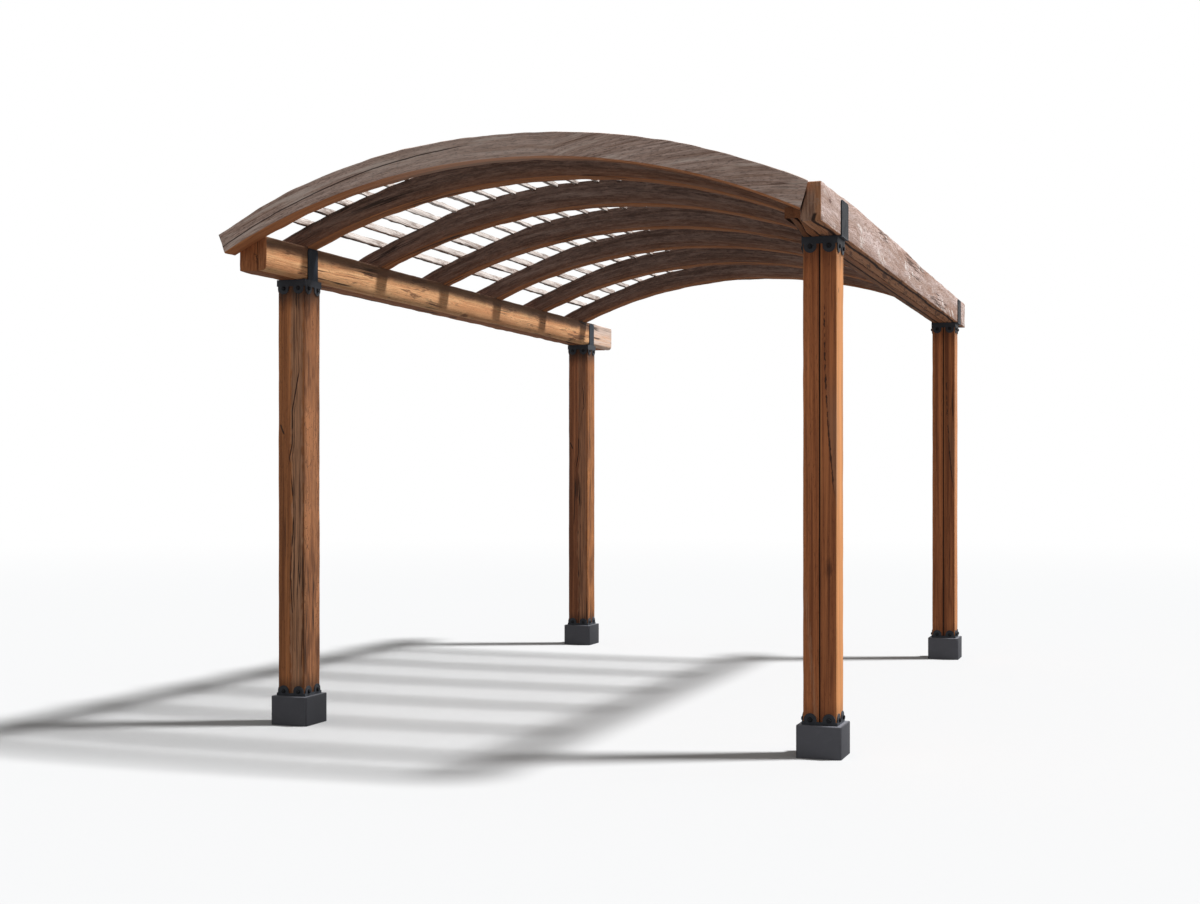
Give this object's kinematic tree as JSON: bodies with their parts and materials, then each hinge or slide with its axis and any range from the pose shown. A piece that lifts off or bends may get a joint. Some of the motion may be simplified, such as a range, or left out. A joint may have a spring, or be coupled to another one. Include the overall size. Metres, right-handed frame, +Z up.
{
  "type": "wooden pergola",
  "caption": "Timber pergola, open on all sides: square posts on steel base boxes carry side beams, curved roof arches and thin lengthwise slats.",
  "frame": {"origin": "centre of the outer box's underside, on the floor", "axes": "+X right, +Y from the front arch to the rear, +Z up"},
  "size_m": [2.891, 4.935, 2.772],
  "materials": {
    "base_coating": "satin anthracite powder coat",
    "bracket_steel": "matt black powder coat, slightly worn",
    "post_timber": "oiled softwood with open grain and drying cracks",
    "beam_timber": "oiled softwood, partly weathered",
    "weathered_beam_timber": "weathered softwood with a greyed face",
    "arch_timber": "weathered grey-brown softwood, warmer underneath",
    "slat_timber": "rough-sawn pale softwood"
  },
  "bodies": {
    "root": {"base_front_left": "base_coating", "base_front_right": "base_coating", "base_rear_left": "base_coating", "base_rear_right": "base_coating", "foot_bracket_front_left": "bracket_steel", "foot_bracket_front_right": "bracket_steel", "foot_bracket_rear_left": "bracket_steel", "foot_bracket_rear_right": "bracket_steel", "post_front_left": "post_timber", "post_front_right": "post_timber", "post_rear_left": "post_timber", "post_rear_right": "post_timber", "cap_bracket_front_left": "bracket_steel", "cap_bracket_front_right": "bracket_steel", "cap_bracket_rear_left": "bracket_steel", "cap_bracket_rear_right": "bracket_steel", "left_outer_beam": "beam_timber", "left_inner_beam": "beam_timber", "right_outer_beam": "weathered_beam_timber", "right_inner_beam": "beam_timber", "right_ledge_board": "beam_timber", "arch_1_front": "arch_timber", "arch_2": "arch_timber", "arch_3": "arch_timber", "arch_4": "arch_timber", "arch_5": "arch_timber", "arch_6": "arch_timber", "arch_7_rear": "arch_timber", "slats_left_low": "slat_timber", "slats_left_middle": "slat_timber", "slats_left_high": "slat_timber", "slat_crown": "slat_timber", "slats_right_high": "slat_timber", "slats_right_middle": "slat_timber", "slats_right_low": "slat_timber"}
  },
  "joints": []
}
